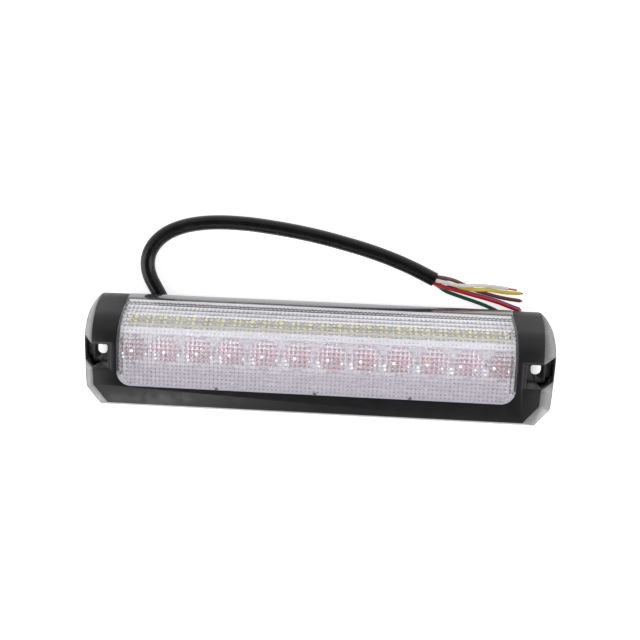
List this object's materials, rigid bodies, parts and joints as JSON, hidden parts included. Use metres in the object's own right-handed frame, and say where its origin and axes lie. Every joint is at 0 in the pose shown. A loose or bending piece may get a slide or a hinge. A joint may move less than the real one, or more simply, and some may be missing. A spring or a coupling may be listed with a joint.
{
  "type": "third brake light",
  "caption": "Long slim vehicle lamp with a black flared bezel, a clear pillow-optic lens over a curved edge, screw pockets at the ends and a cut multi-core cable.",
  "frame": {"origin": "centre of the lamp in plan, on the back of the module housing, which the lamp lies on", "axes": "+X along the lamp, +Y towards its curved long side, +Z out of the lens"},
  "size_m": [0.26, 0.1081, 0.0364],
  "materials": {
    "bezel_plastic": "fine textured black moulding",
    "clear_lens": "clear, polished, pillow optics inside",
    "black_rubber": "matte",
    "foam": "closed-cell foam",
    "housing_plastic": "satin black moulding",
    "bright_reflector": "bright metallised",
    "white_reflector": "white satin",
    "board": "white solder mask",
    "red_led": "tinted resin",
    "white_led": "yellow phosphor in white package",
    "black_component": "black epoxy",
    "can_metal": "satin",
    "terminal_plastic": "natural nylon",
    "screw_steel": "zinc plated",
    "cable_jacket": "semi-gloss black jacket",
    "copper": "bare stranded copper",
    "wire_blue": "insulation",
    "wire_brown": "insulation",
    "wire_white": "insulation",
    "wire_yellow": "insulation",
    "wire_red": "insulation",
    "wire_green": "insulation"
  },
  "bodies": {
    "root": {"bezel": "bezel_plastic", "board_link": "black_component", "board_screw_1": "screw_steel", "board_screw_2": "screw_steel", "board_screw_3": "screw_steel", "board_screw_4": "screw_steel", "cable_grommet": "black_rubber", "cable_jacket": "cable_jacket", "capacitor_input": "can_metal", "capacitor_output": "can_metal", "case_screw_1": "screw_steel", "case_screw_2": "screw_steel", "case_screw_3": "screw_steel", "case_screw_4": "screw_steel", "divider_bar": "white_reflector", "driver_chip_red": "black_component", "driver_chip_white": "black_component", "input_diode": "black_component", "lens": "clear_lens", "lens_seal": "black_rubber", "main_board": "board", "main_reflector": "bright_reflector", "module_housing": "housing_plastic", "mount_foam": "foam", "power_coil": "black_component", "red_led_01": "red_led", "red_led_02": "red_led", "red_led_03": "red_led", "red_led_04": "red_led", "red_led_05": "red_led", "red_led_06": "red_led", "red_led_07": "red_led", "red_led_08": "red_led", "red_led_09": "red_led", "red_led_10": "red_led", "red_led_11": "red_led", "red_led_12": "red_led", "resistor_red": "black_component", "resistor_white": "black_component", "upper_board": "board", "upper_reflector": "white_reflector", "vent_plug": "black_rubber", "white_led_row": "white_led", "wire_blue": "wire_blue", "wire_brown": "wire_brown", "wire_end_blue": "copper", "wire_end_brown": "copper", "wire_end_green": "copper", "wire_end_red": "copper", "wire_end_white": "copper", "wire_end_yellow": "copper", "wire_green": "wire_green", "wire_red": "wire_red", "wire_terminal": "terminal_plastic", "wire_white": "wire_white", "wire_yellow": "wire_yellow"}
  },
  "joints": []
}
